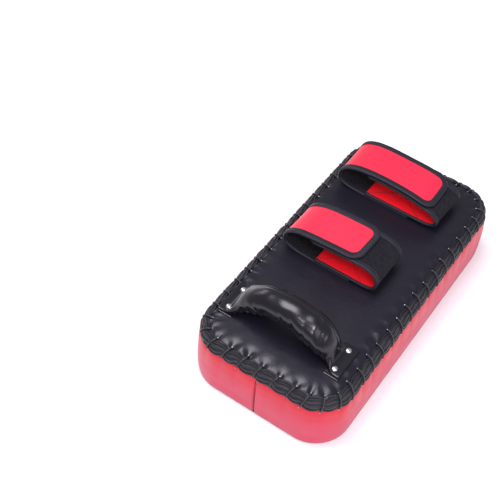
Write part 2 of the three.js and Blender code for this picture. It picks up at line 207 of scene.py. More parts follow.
class Nodes:
    """Short names for building one material's node tree."""

    def __init__(self, name):
        self.material = bpy.data.materials.new(name)
        self.material.use_nodes = True
        self.tree = self.material.node_tree
        self.shader = self.tree.nodes["Principled BSDF"]

    def add(self, kind, inputs=None, **settings):
        node = self.tree.nodes.new(kind)
        for key, value in settings.items():
            setattr(node, key, value)
        for key, value in (inputs or {}).items():
            self.feed(node.inputs[key], value)
        return node

    def feed(self, socket, value):
        if isinstance(value, bpy.types.NodeSocket):
            self.tree.links.new(value, socket)
        else:
            socket.default_value = value

    def set(self, **values):
        for key, value in values.items():
            self.feed(self.shader.inputs[key.replace("_", " ")], value)

    def place(self):
        return self.add("ShaderNodeTexCoord").outputs["Object"]

    def uv(self):
        return self.add("ShaderNodeTexCoord").outputs["UV"]

    def split(self, vector):
        """The X, Y and Z of a vector."""
        return self.add("ShaderNodeSeparateXYZ", {"Vector": vector}).outputs

    def noise(self, where, scale, detail=3.0, roughness=0.55):
        values = {"Vector": where, "Scale": scale, "Detail": detail, "Roughness": roughness}
        return self.add("ShaderNodeTexNoise", values).outputs["Fac"]

    def cells(self, where, scale, feature="F1"):
        values = {"Vector": where, "Scale": scale}
        return self.add("ShaderNodeTexVoronoi", values, feature=feature).outputs["Distance"]

    def ranged(self, value, low, high, to_low, to_high):
        values = {"Value": value, "From Min": low, "From Max": high, "To Min": to_low, "To Max": to_high}
        return self.add("ShaderNodeMapRange", values).outputs["Result"]

    def maths(self, operation, a, b=0.0, c=0.0):
        node = self.add("ShaderNodeMath", operation=operation)
        for socket, value in zip(node.inputs, (a, b, c)):
            self.feed(socket, value)
        return node.outputs[0]

    def tint(self, factor, first, second):
        node = self.add("ShaderNodeMix", data_type="RGBA")
        self.feed(node.inputs[0], factor)
        for socket, colour in ((node.inputs[6], first), (node.inputs[7], second)):
            self.feed(socket, (*colour, 1.0) if isinstance(colour, tuple) else colour)
        return node.outputs[2]

    def bump(self, height, distance, strength=1.0, normal=None):
        values = {"Height": height, "Distance": distance, "Strength": strength}
        node = self.add("ShaderNodeBump", values)
        if normal is not None:
            self.feed(node.inputs["Normal"], normal)
        return node.outputs["Normal"]


# Heights on the pad in metres: where the side's red blends towards a paler, pinker colour low down, a
# painted reflection of the pale floor, and where the back's edge is drawn taut.
PAINTED_REFLECTION_BETWEEN = (0.066, 0.030)
TAUT_BETWEEN = (0.0824, 0.0805)


def leather(name, light, dark, rough, grain=0.00005, crease=0.0004, specular=0.5, floor_reflection_colour=None, taut=0.0):
    """Artificial leather: pebbled grain, soft waves in the backing, and patches that are rubbed smoother.
    A colour given for low on the pad is blended in there, paler and pinker: a painted reflection of the
    pale floor. taut is how much smoother it is where the lacing pulls it down over the rim."""
    n = Nodes(name)
    where = n.place()
    patches = n.noise(where, 34.0, 4.0)
    pebbles = n.cells(where, 1500.0)
    waves = n.noise(where, 90.0, 2.0)
    colour = n.tint(n.ranged(patches, 0.3, 0.7, 0.0, 1.0), dark, light)
    # Painted reflection: lower down the colour blends to a paler, pinker one, standing in for the pale
    # floor reflected in the side.
    if floor_reflection_colour is not None:
        painted_reflection_mask = n.ranged(n.split(where)["Z"], *PAINTED_REFLECTION_BETWEEN, 0.0, 1.0)
        colour = n.tint(painted_reflection_mask, colour, floor_reflection_colour)
    roughness = n.ranged(patches, 0.3, 0.7, rough + 0.05, rough - 0.05)
    if taut:
        pulled_down = n.ranged(n.split(where)["Z"], *TAUT_BETWEEN, 0.0, taut)
        roughness = n.maths("SUBTRACT", roughness, pulled_down)
    n.set(
        Base_Color=colour,
        Roughness=roughness,
        Specular_IOR_Level=specular,
        Normal=n.bump(pebbles, grain, 0.6, n.bump(waves, crease, 0.5)),
    )
    return n.material


def ribbed_tape(name, light, dark, rib=0.9, rough=0.62, ridge=1.5, ridge_bump_and_highlight=0.4):
    """Binding tape: fine ribs across it, ridges along it and a little fuzz. Its colour follows their
    height:
    the tops are lighter, a painted highlight, and the grooves darker, painted shade.
    """
    n = Nodes(name)
    uv = n.split(n.uv())
    ribs = n.maths("SINE", n.maths("MULTIPLY", uv["X"], TURN / (rib * MM)))
    ridges = n.maths("COSINE", n.maths("MULTIPLY", uv["Y"], TURN / (ridge * MM)))
    fuzz = n.noise(n.place(), 900.0, 3.0)
    height = n.maths("MULTIPLY_ADD", fuzz, 0.9, n.maths("MULTIPLY", ribs, 0.6))
    height = n.maths("MULTIPLY_ADD", ridges, ridge_bump_and_highlight, height)
    # Painted highlight and shade: rib and ridge tops are coloured lighter, the grooves darker.
    n.set(
        Base_Color=n.tint(n.ranged(height, -0.6, 1.6, 0.0, 1.0), dark, light),
        Roughness=rough,
        Specular_IOR_Level=0.32,
        Sheen_Weight=0.03,
        Sheen_Roughness=0.5,
        Normal=n.bump(height, 0.00009, 0.7),
    )
    return n.material


def loop_pile(name, light, dark):
    """The loop half of a hook-and-loop tape: brushed pile in faint rows along it."""
    n = Nodes(name)
    where = n.place()
    rows = n.maths("SINE", n.maths("MULTIPLY", n.split(n.uv())["Y"], TURN / (1.6 * MM)))
    clumps = n.noise(where, 260.0, 6.0, 0.7)
    fibres = n.noise(where, 2400.0, 2.0, 0.8)
    height = n.maths("ADD", n.maths("MULTIPLY_ADD", rows, 0.12, clumps), n.maths("MULTIPLY", fibres, 0.8))
    n.set(
        Base_Color=n.tint(n.ranged(height, 0.6, 1.2, 0.0, 1.0), dark, light),
        Roughness=0.95,
        Specular_IOR_Level=0.06,
        Sheen_Weight=0.04,
        Sheen_Roughness=0.6,
        Normal=n.bump(height, 0.0005, 0.9),
    )
    return n.material


def hook_field(name, light, dark):
    """The hook half: a grid of stiff little hooks on a woven ground."""
    n = Nodes(name)
    where = n.uv()
    hooks = n.cells(where, 1.0 / (1.5 * MM))
    n.set(
        Base_Color=n.tint(n.ranged(hooks, 0.15, 0.6, 0.0, 1.0), light, dark),
        Roughness=0.7,
        Specular_IOR_Level=0.3,
        Normal=n.bump(hooks, 0.0006, 0.8),
    )
    return n.material


def twisted_thread(name, light, dark, rough=0.45):
    """Waxed thread: short strands that catch the light."""
    n = Nodes(name)
    strands = n.noise(n.place(), 1800.0, 2.0)
    n.set(
        Base_Color=n.tint(n.ranged(strands, 0.35, 0.65, 0.0, 1.0), dark, light),
        Roughness=rough,
        Specular_IOR_Level=0.5,
        Normal=n.bump(strands, 0.0002, 0.6),
    )
    return n.material


def bright_metal(name, colour, rough):
    """Nickel plate with fine scratches."""
    n = Nodes(name)
    scratches = n.noise(n.place(), 1400.0, 5.0)
    n.set(
        Base_Color=(*colour, 1.0),
        Metallic=1.0,
        Roughness=n.ranged(scratches, 0.3, 0.7, rough, rough + 0.12),
        Normal=n.bump(scratches, 0.00003, 0.3),
    )
    return n.material


def closed_foam(name, light, dark):
    """Closed-cell foam: a skin of fine bubbles."""
    n = Nodes(name)
    bubbles = n.cells(n.place(), 900.0)
    n.set(
        Base_Color=n.tint(n.ranged(bubbles, 0.1, 0.7, 0.0, 1.0), dark, light),
        Roughness=0.9,
        Normal=n.bump(bubbles, 0.0002, 0.6),
    )
    return n.material


BLACK_LEATHER = leather(
    "black_leather",
    (0.0095, 0.0085, 0.0155),
    (0.0065, 0.0058, 0.0108),
    0.33,
    specular=0.34,
    taut=0.13,
)
GRIP_LEATHER = leather(
    "grip_leather",
    (0.0065, 0.0058, 0.0105),
    (0.004, 0.0036, 0.0066),
    0.24,
    grain=0.00003,
    crease=0.0002,
    specular=0.45,
)
SIDE_RED = leather(
    "side_red",
    (0.60, 0.007, 0.024),
    (0.55, 0.006, 0.020),
    0.4,
    crease=0.0002,
    specular=0.38,
    # The paler, pinker colour low on the side is a painted reflection of the pale floor.
    floor_reflection_colour=(0.55, 0.032, 0.078),
)
STRAP_RED = leather("strap_red", (0.90, 0.014, 0.050), (0.85, 0.012, 0.044), 0.45, crease=0.0002)
LINING_RED = leather(
    "lining_red",
    (0.82, 0.009, 0.020),
    (0.77, 0.007, 0.016),
    0.55,
    crease=0.0002,
    specular=0.2,
)
# The lighter rib and ridge tops of both tapes are a painted highlight, and their darker grooves are painted
# shade.
RIM_TAPE = ribbed_tape(
    "rim_tape",
    (0.014, 0.013, 0.020),
    (0.0015, 0.0015, 0.0025),
    rough=0.4,
    ridge=TAPE_WIDTH / TAPE_RIBS,
    ridge_bump_and_highlight=1.3,
)
EDGE_TAPE = ribbed_tape("edge_tape", (0.0125, 0.0115, 0.022), (0.005, 0.0045, 0.009), rib=0.7, rough=0.5)
LOOP_PILE = loop_pile("loop_pile", (0.018, 0.017, 0.024), (0.003, 0.003, 0.0045))
HOOK_FIELD = hook_field("hook_field", (0.013, 0.012, 0.018), (0.0035, 0.0032, 0.005))
LACE_THREAD = twisted_thread("lace_thread", (0.035, 0.034, 0.040), (0.012, 0.012, 0.014))
# The pale grey of the lace's end knots is a painted glint.
PAINTED_GLINT_THREAD = twisted_thread("painted_glint_thread", (0.60, 0.60, 0.62), (0.35, 0.35, 0.37))
EDGE_THREAD = twisted_thread("edge_thread", (0.020, 0.019, 0.026), (0.008, 0.008, 0.011))
RED_THREAD = twisted_thread("red_thread", (0.07, 0.004, 0.006), (0.035, 0.003, 0.004), 0.6)
NICKEL = bright_metal("nickel", (0.66, 0.66, 0.67), 0.2)
FOAM = closed_foam("foam", (0.32, 0.32, 0.34), (0.24, 0.24, 0.26))


def settle(obj, body="pad", stands_for=()):
    """Fixes a piece to its body, if it is given one, and hides the CAD nodes that it stands for."""
    if stands_for:
        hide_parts(*stands_for)
    if body is not None:
        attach(obj, body)
    return obj


# ---------------------------------------------------------------- the pad's outline

STRAIGHT_X = PAD_HALF_WIDTH - CORNER
STRAIGHT_Y = PAD_HALF_LENGTH - CORNER
ARC = (CORNER - RIM_INSET + RIM_OUT) * math.pi / 2
ROUND = 4 * (STRAIGHT_X + STRAIGHT_Y) + 4 * ARC
PITCH = ROUND / STITCHES


def station(s):
    """Where the outline turns at a distance s round the rim: the turning centre and the outward angle.
    s runs anticlockwise from the middle of the grip's end."""
    legs = [STRAIGHT_X, ARC, 2 * STRAIGHT_Y, ARC, 2 * STRAIGHT_X, ARC, 2 * STRAIGHT_Y, ARC, STRAIGHT_X]
    stops = np.concatenate([[0.0], np.cumsum(legs)])
    w, h = STRAIGHT_X, STRAIGHT_Y
    x = [0, w, w, w, w, -w, -w, -w, -w, 0]
    y = [-h, -h, -h, h, h, h, h, -h, -h, -h]
    angle = [-90, -90, 0, 0, 90, 90, 180, 180, 270, 270]
    s = np.asarray(s, float) % ROUND
    return np.interp(s, stops, x), np.interp(s, stops, y), np.radians(np.interp(s, stops, angle))


def stations_round(count):
    """Evenly spaced distances round the rim."""
    return np.arange(count) * ROUND / count


def rim_point(s, inset, z):
    """Points at distances s round the rim, insets in from the outline and heights z."""
    s, inset, z = np.broadcast_arrays(np.asarray(s, float), inset, z)
    x, y, angle = station(s)
    reach = np.maximum(CORNER - inset, 0.0)
    keep_x = np.minimum(1.0, (PAD_HALF_WIDTH - inset) / STRAIGHT_X)
    keep_y = np.minimum(1.0, (PAD_HALF_LENGTH - inset) / STRAIGHT_Y)
    return np.stack([x * keep_x + np.cos(angle) * reach, y * keep_y + np.sin(angle) * reach, z], axis=-1)


# Where each stitch goes in through the back and comes out at the side, a little uneven as hand lacing is.
STITCH_IN = np.arange(STITCHES) * PITCH + rng.normal(0.0, 0.7, STITCHES)
STITCH_OUT = np.arange(STITCHES) * PITCH - LACE_SLANT + rng.normal(0.0, 1.1, STITCHES)
STITCH_INSET = 14.6 + rng.normal(0.0, 0.7, STITCHES)
STITCH_LOW = 66.6 + rng.normal(0.0, 0.7, STITCHES)
STITCH_PULL = 1.0 + rng.normal(0.0, 0.18, STITCHES)


def pull(s, part_way, width):
    """How strongly the lacing pulls at s: 1 on a stitch, fading out over width. part_way is 0 at the back's
    end of the stitches and 1 at the side's end."""
    s, part_way = np.broadcast_arrays(np.asarray(s, float), part_way)
    centres = STITCH_IN + (STITCH_OUT - STITCH_IN) * part_way[..., None]
    gap = s[..., None] - centres
    gap = (gap + ROUND / 2) % ROUND - ROUND / 2
    return (STITCH_PULL * np.exp(-((gap / width) ** 2))).max(axis=-1)


def gentle_waves(x, y, amplitude, wavelength, seed):
    """Smooth uneven rises and dips over a surface."""
    waves = np.random.default_rng(seed)
    total = np.zeros(np.broadcast(x, y).shape)
    for _ in range(7):
        direction = waves.uniform(0.0, TURN)
        size = TURN / (wavelength * waves.uniform(0.6, 1.5))
        phase = waves.uniform(0.0, TURN)
        total = total + np.sin((x * math.cos(direction) + y * math.sin(direction)) * size + phase)
    return total * amplitude / 3.0


# ---------------------------------------------------------------- pad covers


def build_back_cover():
    """The black back, which puffs up between the stitches and is drawn down at each of them."""
    columns = stations_round(690)
    insets = np.concatenate([np.arange(8.0, 34.0, 1.0), np.linspace(34.0, 100.0, 34)])
    s, inset = np.meshgrid(columns, insets)
    crown = 82.6 - 7.0 * np.exp(-(inset - 8.0) / 4.6)
    drawn_in = pull(s, np.zeros_like(s), 9.0)
    hole = pull(s, np.zeros_like(s), 3.2)
    on_corner = np.sin(2.0 * station(columns)[2]) ** 2
    ridge = np.exp(-(((inset - 19.5) / 6.0) ** 2))
    dimple = np.exp(-(((inset - 14.5) / 4.5) ** 2))
    uneven = 1.0 + 0.45 * gentle_waves(s, 0.0, 1.0, 55.0, 4)
    drawn = 1.5 * ridge * (0.45 - drawn_in) * uneven - 1.3 * dimple * hole
    height = crown + drawn * (1.0 - 0.65 * on_corner)
    points = rim_point(s, inset, height)
    calm = smoothstep(16.0, 40.0, inset)
    points[..., 2] += calm * gentle_waves(points[..., 0], points[..., 1], 0.28, 80.0, 3)
    cover = grid_object("back_cover_skin", points, BLACK_LEATHER, wrap_cols=True)
    merge_close(cover)
    return settle(cover, stands_for=["back_cover"])


def side_inset(s, z):
    """How far the side band lies in from the outline at a place s round the rim and a height z."""
    shape = np.interp(
        z, [1.6, 3, 10, 28, 48, 60, 66, 69, 72], [2.2, 1.4, 0.5, 0.0, 0.4, 1.2, 2.2, 3.8, 6.2]
    )
    below = np.clip(67.0 - z, 0.0, 80.0)
    drawn = pull(s, np.ones_like(s), 2.6) * np.exp(-below / 7.0)
    hollow = pull(s, np.ones_like(s), 5.5) * np.exp(-below / 20.0)
    folds = gentle_waves(s, z * 0.35, 0.45, 21.0, 9) * np.exp(-below / 26.0)
    loose = gentle_waves(s, z * 0.8, 0.35, 60.0, 10) * smoothstep(3.0, 20.0, z)
    return shape + 1.1 * drawn + 0.9 * hollow - 0.35 + folds * 0.8 + loose


def build_side_bands():
    """Two red half bands. Their ends turn in at the seams in the middle of the short ends."""
    heights = np.concatenate([[1.6, 1.6], np.linspace(1.8, 58.0, 34), np.linspace(59.5, 72.0, 12)])
    for name, start in (("right", 0.0), ("left", ROUND / 2)):
        half = np.linspace(0.25, ROUND / 2 - 0.25, 371)
        from_seam = np.minimum(half, ROUND / 2 - half)
        s, z = np.meshgrid(start + half, heights)
        inset = side_inset(s, z) + 1.3 * np.exp(-((from_seam / 1.1) ** 2))
        inset[0] += 6.0
        inset[:, 0] += 2.0
        inset[:, -1] += 2.0
        band = grid_object(f"side_band_skin_{name}", rim_point(s, inset, z), SIDE_RED)
        settle(band, stands_for=[f"side_band_{name}"])


def build_strike_cover():
    """The black striking face, flat where it rests, with its edge rolled up to the seam."""
    columns = stations_round(480)
    insets = [5.6, 3.0, 2.3, 2.2, 2.7, 3.8, 6.0, 9.0, 16.0, 30.0, 46.0, 70.0, 100.0]
    heights = [2.0, 2.2, 1.9, 1.4, 0.8, 0.35, 0.1, 0.0, 0.0, 0.05, 0.1, 0.1, 0.1]
    s, inset = np.meshgrid(columns, insets)
    z = np.broadcast_to(np.array(heights)[:, None], s.shape)
    cover = grid_object("strike_cover_skin", rim_point(s, inset, z), BLACK_LEATHER, wrap_cols=True)
    merge_close(cover)
    return settle(cover, stands_for=["strike_cover"])


# ---------------------------------------------------------------- rim tape and lace


def rim_angle_point(s, degrees, grow):
    """A point over the rolled rim: 0 degrees is outwards, 90 is up; grow is out of its surface."""
    angle = np.radians(degrees)
    return rim_point(
        s,
        RIM_INSET - np.cos(angle) * (RIM_OUT + grow),
        RIM_Z + np.sin(angle) * (RIM_UP + grow),
    )


def tape_swell(s, part_way):
    """The tape's rise out of the rim's surface: full between the stitches, tight under each of them."""
    return 0.45 - 0.9 * pull(s, part_way, 5.0) - 0.35 * pull(s, part_way, 1.8)


def build_rim_tape():
    """Ribbed tape rolled over the rim. Its edges are scalloped, because the lace gathers it."""
    columns = stations_round(740)
    part_way = np.linspace(0.0, 1.0, 37)
    s, across = np.meshgrid(columns, part_way)
    inner_edge = 103.0 - 14.0 * pull(columns, 0.0, 5.5)
    outer_edge = -17.0 + 15.0 * pull(columns, 1.0, 5.5)
    degrees = inner_edge + (outer_edge - inner_edge) * across
    ribs = (0.5 - 0.25 * pull(s, across, 4.0)) * np.cos(across * TURN * TAPE_RIBS)
    crumple = gentle_waves(s * 0.5, across * 24.0, 0.25, 7.0, 5)
    outer = tape_swell(s, across) + ribs + crumple
    top = rim_angle_point(s, degrees, outer)
    under = rim_angle_point(s, degrees, outer - 1.1)[::-1]
    points = np.concatenate([top, under])
    along = np.concatenate([columns, [ROUND]])
    across_uv = np.concatenate([part_way * TAPE_WIDTH, part_way[::-1] * TAPE_WIDTH, [0.0]])
    # The weave's X runs along the tape, so the grid is turned to put its columns first.
    tape = grid_object(
        "rim_tape_roll",
        points.transpose(1, 0, 2),
        RIM_TAPE,
        wrap_rows=True,
        wrap_cols=True,
        along=along,
        across=across_uv,
    )
    return settle(tape, stands_for=["rim_tape"])


def lace_path(k):
    """The visible run of stitch k, from under the back cover over the tape to under the side band."""
    steps = np.linspace(0.0, 1.0, 15)
    s = STITCH_IN[k] + (STITCH_OUT[k] - STITCH_IN[k]) * steps
    degrees = 97.0 - 108.0 * steps
    grow = 0.35 - 0.85 * STITCH_PULL[k] + LACE_RADIUS * 1.1
    over = rim_angle_point(s, degrees, np.full(15, grow))
    start = rim_point(STITCH_IN[k] + 0.2, [STITCH_INSET[k] + 0.4, STITCH_INSET[k]], [77.5, 80.4])
    end = rim_point(STITCH_OUT[k] - 0.2, [2.6, 5.6], [STITCH_LOW[k], STITCH_LOW[k] - 0.8])
    return smooth_line(np.concatenate([start, over, end]), step=0.7, window=2.1)


def build_lace():
    """The cord that whips over the tape, and small pale knots at its ends in the holes, a painted glint."""
    runs = [with_end_caps(tube(lace_path(k), LACE_RADIUS)) for k in range(STITCHES)]
    lace = joined("rim_lace_cord", runs, LACE_THREAD, wrap_cols=True)
    settle(lace, stands_for=["rim_lace"])

    # Painted glint: each end of the lace gets a small pale grey knot, standing in for light caught on the
    # thread's ends.
    glint_knots = []
    for k in range(STITCHES):
        ends = [
            rim_point(STITCH_IN[k] + 0.4, STITCH_INSET[k] + 0.5, 80.6),
            rim_point(STITCH_OUT[k] - 0.4, 2.3, STITCH_LOW[k] - 0.4),
        ]
        for end in ends:
            size = rng.uniform(0.45, 0.85)
            line = end + np.array([[0.0, 0.0, t] for t in np.linspace(-size, size, 7)])
            swell = size * np.sqrt(np.maximum(0.02, 1.0 - np.linspace(-1.0, 1.0, 7) ** 2))
            glint_knots.append(with_end_caps(tube(line, swell, 6)))
    tips = joined("rim_lace_glint_tips", glint_knots, PAINTED_GLINT_THREAD, wrap_cols=True)
    settle(tips)


# ---------------------------------------------------------------- sewing


def sewn_lines(name, paths, normal, material, pitch=3.2, length=2.3, radius=0.32):
    """Thread that shows as rows of short stitches along paths, each stitch sunk at its ends. normal is the
    way out of the surface: one direction, or one for each point of each path."""
    runs = []
    for path in paths:
        distance = np.concatenate([[0.0], np.cumsum(np.linalg.norm(np.diff(path, axis=0), axis=1))])
        facing = np.broadcast_to(normal, path.shape)
        for start in np.arange(pitch * 0.2, distance[-1] - length, pitch):
            at = np.linspace(start, start + length, 7)
            line = np.stack([np.interp(at, distance, path[:, k]) for k in range(3)], axis=1)
            out = np.stack([np.interp(at, distance, facing[:, k]) for k in range(3)], axis=1)
            lift = radius * (1.2 * np.sin(np.linspace(0.0, math.pi, 7)) - 0.5)
            runs.append(with_end_caps(tube(line + out * lift[:, None], radius, 6)))
    return joined(name, runs, material, wrap_cols=True)


def build_side_seams():
    """Thread beside the seam in the middle of each short end."""
    for name, start, facing in (("front", 0.0, -1.0), ("rear", ROUND / 2, 1.0)):
        z = np.linspace(62.0, 6.0, 40)
        place = np.full(40, start + 1.5)
        path = rim_point(place, side_inset(place, z) + 0.35, z)
        normal = (0.0, facing, 0.0)
        thread = sewn_lines(f"side_seam_thread_{name}", [path], normal, RED_THREAD, 3.0, 1.9, 0.26)
        settle(thread)


# ---------------------------------------------------------------- forearm straps

# Each strap's place along the pad, and its two bands' middle lines as (x, z), from the sewn-down end. tip
# is the radius of the flap's corners, and sewn is how far along the loop band its crossed stitches reach.
FOREARM = {
    "name": "forearm",
    "y": 124.5,
    "hook": [
        (22, 83.6), (-40, 83.7), (-54, 84.2), (-64, 85.1), (-73, 88), (-78, 92.5), (-79, 98), (-77, 107),
        (-69, 114.5), (-56, 119.3), (-38, 121.6), (-15, 121.9), (8, 121.4), (24, 120.2), (36, 117.8),
        (46.5, 113.2),
    ],
    "loop": [
        (-41, 87.2), (30, 87.2), (44, 87.4), (53, 89.6), (59.5, 94.5), (61.8, 100), (58.8, 105.6),
        (52.5, 108.6), (44, 110.4), (34, 112.6), (24, 114.8), (8, 116.4), (-8, 116.8), (-25, 116.7),
        (-42, 115.6),
    ],
    "tip": 16.0,
    "sewn": 75.0,
}
WRIST = {
    "name": "wrist",
    "y": -3.0,
    "hook": [
        (16, 83.6), (-37, 83.7), (-51, 84.2), (-61, 85.1), (-70, 88), (-75.5, 92.5), (-76.5, 98),
        (-74.5, 107), (-67, 115), (-55, 120.2), (-38, 122.6), (-18, 123), (4, 122.7), (22.5, 122),
    ],
    "loop": [
        (-34, 87.2), (22, 87.2), (34, 87.4), (42, 88.6), (47.5, 92.5), (49, 98), (48.4, 106), (43, 113.6),
        (33, 117.4), (18, 118.2), (0, 118.1), (-14, 117.9), (-28, 117.6), (-41, 116.6),
    ],
    "tip": 16.0,
    "sewn": 63.0,
}
KEEPER_TIP = 7.0

# What a strap's two bands are made of. Each layer has its name, its heights out of the band's middle, its
# record slot and its material; sewn_down names the part that is fixed to the pad.
LAYER_TOP = STRAP_LAYER + 0.1
LAYER_GAP = 0.1
BANDS = {
    "hook": {
        "outward": 1,
        "fold_x": -78,
        "sewn_down": "foot",
        "layers": [
            ("face", LAYER_GAP, LAYER_TOP, "strap_red", STRAP_RED),
            ("tape", -LAYER_TOP, -LAYER_GAP, "hook_tape", HOOK_FIELD),
        ],
        "lips": (7.4, 6.4),
    },
    "loop": {
        "outward": -1,
        "fold_x": 50,
        "sewn_down": "base",
        "layers": [
            ("tape", LAYER_GAP, LAYER_TOP, "loop_tape", LOOP_PILE),
            ("lining", -LAYER_TOP, -LAYER_GAP, "strap_red", LINING_RED),
        ],
        "lips": (6.4, 3.2),
    },
}


class Strap:
    """A band laid along a line in the XZ plane: at() gives points from the distance along it, the distance
    across it and the height out of its middle. outward is 1 or -1, whichever is the outside of the loop."""

    def __init__(self, points, centre_y, outward):
        self.line = smooth_line(points, step=1.0, window=7.0)
        self.y = centre_y
        self.length = float(np.linalg.norm(np.diff(self.line, axis=0), axis=1).sum())
        self.distance = np.linspace(0.0, self.length, len(self.line))
        tangent = np.gradient(self.line, axis=0)
        tangent /= np.linalg.norm(tangent, axis=1)[:, None]
        self.normal = outward * np.stack([-tangent[:, 1], tangent[:, 0]], axis=1)

    def at(self, s, across, out):
        s, across, out = np.broadcast_arrays(s, across, out)
        x, z = (np.interp(s, self.distance, self.line[:, k]) for k in (0, 1))
        nx, nz = (np.interp(s, self.distance, self.normal[:, k]) for k in (0, 1))
        points = np.stack([x + nx * out, self.y + across, z + nz * out], axis=-1)
        return points + soft_lean(points)

    def facing(self, s):
        """The way out of the band at s."""
        nx, nz = (np.interp(s, self.distance, self.normal[:, k]) for k in (0, 1))
        return np.stack([nx, np.zeros_like(nx), nz], axis=-1)

    def half_width(self, s, tip, inward):
        """Half the band's width at s, less a margin, with the corners of its far end rounded."""
        radius = max(tip - inward, 0.01)
        past = np.clip(s - (self.length - tip), 0.0, radius)
        return STRAP_HALF - inward - radius + np.sqrt(np.maximum(radius**2 - past**2, 0.0))


def soft_lean(points):
    """The small uneven lean of straps that have been worn, none where they are sewn down."""
    x, y, z = points[..., 0], points[..., 1], points[..., 2]
    free = smoothstep(88.0, 112.0, z)
    lean_y = 1.1 * np.sin(x / 31.0 + y / 55.0 + 0.4)
    lean_z = 0.45 * np.sin(x / 25.0 + y / 33.0 + 1.1) + 0.2 * np.sin(x / 13.0 - y / 23.0)
    near_corner = smoothstep(46.0, 60.0, x) * (1.0 - smoothstep(95.0, 150.0, y)) * smoothstep(60.0, 80.0, y)
    pressed_in = 6.5 * near_corner
    lean_x = 0.9 * np.sin(y / 17.0 + 0.8) - pressed_in
    return np.stack([lean_x * free, lean_y * free, lean_z * free], axis=-1)


def strap_layer(name, strap, low, high, tip, material, inward=0.8):
    """One layer of a strap, as a thin closed band."""
    end = strap.length - inward
    rounding = end - tip + (tip - 0.4) * np.sin(np.linspace(0, 1.5, 9))
    s = np.concatenate([np.arange(2.0, end - tip, 2.0), rounding])
    half = strap.half_width(s, tip, inward)
    over = np.linspace(-1.0, 1.0, 19)
    across = np.concatenate([over, [1.006], over[::-1], [-1.006]])
    out = np.concatenate([np.full(19, high), [(low + high) / 2], np.full(19, low), [(low + high) / 2]])
    points = strap.at(s[:, None], half[:, None] * across, out)
    along = np.concatenate([[s[0]], s, [s[-1]]])
    across_uv = np.concatenate([across, across[:1]]) * STRAP_HALF
    points = with_end_caps(points)
    return grid_object(name, points, material, wrap_cols=True, along=along, across=across_uv)


def binding_section(outer_lip, inner_lip):
    """The edge tape's outline: distances in from the strap's edge, and out of its middle."""
    thick = STRAP_LAYER + 0.15

    def lip(reach):
        rise = BINDING_BULGE * np.sin(np.linspace(0.25, 1.0, 8) * math.pi * 0.62)
        return np.stack([np.linspace(reach, 0.9, 8), thick + rise], axis=1)

    bend = np.array([(0.1, 0.95), (-0.35, 0.5), (-0.5, 0.0), (-0.35, -0.5), (0.1, -0.95)])
    inside = np.array([(inner_lip, -1.0), (0.6, -1.0), (0.6, 1.0), (outer_lip, 1.0)])
    return np.concatenate(
        [
            lip(outer_lip),
            bend * [1.0, thick],
            lip(inner_lip)[::-1] * [1.0, -1.0],
            inside * [1.0, thick - 0.2],
        ]
    )


def strap_edge(strap, tip):
    """The outline of a strap from its sewn-down end, round its far end and back: (distance along, distance
    across) for each point, and the way in from it."""
    side_s = np.arange(1.0, strap.length - tip, 2.0)
    turn = np.linspace(0.0, math.pi / 2, 10)
    middle = np.linspace(tip - STRAP_HALF, 0.0, 8)[1:]
    corner = [strap.length - tip + tip * np.sin(turn), -STRAP_HALF + tip * (1 - np.cos(turn))]
    edge = [
        np.stack([side_s, np.full(len(side_s), -STRAP_HALF)], axis=1),
        np.stack(corner, axis=1),
        np.stack([np.full(7, strap.length), middle], axis=1),
    ]
    inward = [
        np.tile([0.0, 1.0], (len(side_s), 1)),
        np.stack([-np.sin(turn), np.cos(turn)], axis=1),
        np.tile([-1.0, 0.0], (7, 1)),
    ]
    edge = np.concatenate(edge)
    inward = np.concatenate(inward)
    mirror = np.array([1.0, -1.0])
    return (
        np.concatenate([edge, edge[-2::-1] * mirror]),
        np.concatenate([inward, inward[-2::-1] * mirror]),
    )


def strap_binding(name, strap, tip, lips):
    """The edge tape along both sides of a strap and round its far end. lips are how far it reaches in on
    the strap's outer and inner side."""
    edge, inward = strap_edge(strap, tip)
    section = binding_section(*lips)
    s = edge[:, :1] + inward[:, :1] * section[:, 0]
    across = edge[:, 1:] + inward[:, 1:] * section[:, 0]
    points = strap.at(s, across, section[:, 1])
    step = np.linalg.norm(np.diff(edge, axis=0), axis=1)
    along = np.concatenate([[0.0, 0.0], np.cumsum(step), [step.sum()]])
    around = np.concatenate([[0.0], np.cumsum(np.linalg.norm(np.diff(section, axis=0), axis=1))])
    around = np.append(around, around[-1] + 1.0)
    points = with_end_caps(points)
    return grid_object(name, points, EDGE_TAPE, wrap_cols=True, along=along, across=around)


def edge_thread(name, strap, tip, lip):
    """The row of stitches that holds the edge tape, just inside its lip on the strap's outer side."""
    edge, inward = strap_edge(strap, tip)
    place = edge + inward * (lip - 1.5)
    row = strap.at(place[:, 0], place[:, 1], STRAP_LAYER + 0.72)
    return sewn_lines(name, [row], strap.facing(place[:, 0]), EDGE_THREAD, 3.0, 2.0, 0.3)


def cross_stitch(name, strap, low_s, high_s, out):
    """Two crossed rows of stitches, which hold the strap to the back."""
    share = np.linspace(0.0, 1.0, 120)
    half = STRAP_HALF - 3.0
    s = low_s + (high_s - low_s) * share
    across = half * (2.0 * share - 1.0)
    rows = [strap.at(s, side * across, out) for side in (-1.0, 1.0)]
    return sewn_lines(name, rows, (0.0, 0.0, 1.0), RED_THREAD, 3.4, 2.2, 0.34)


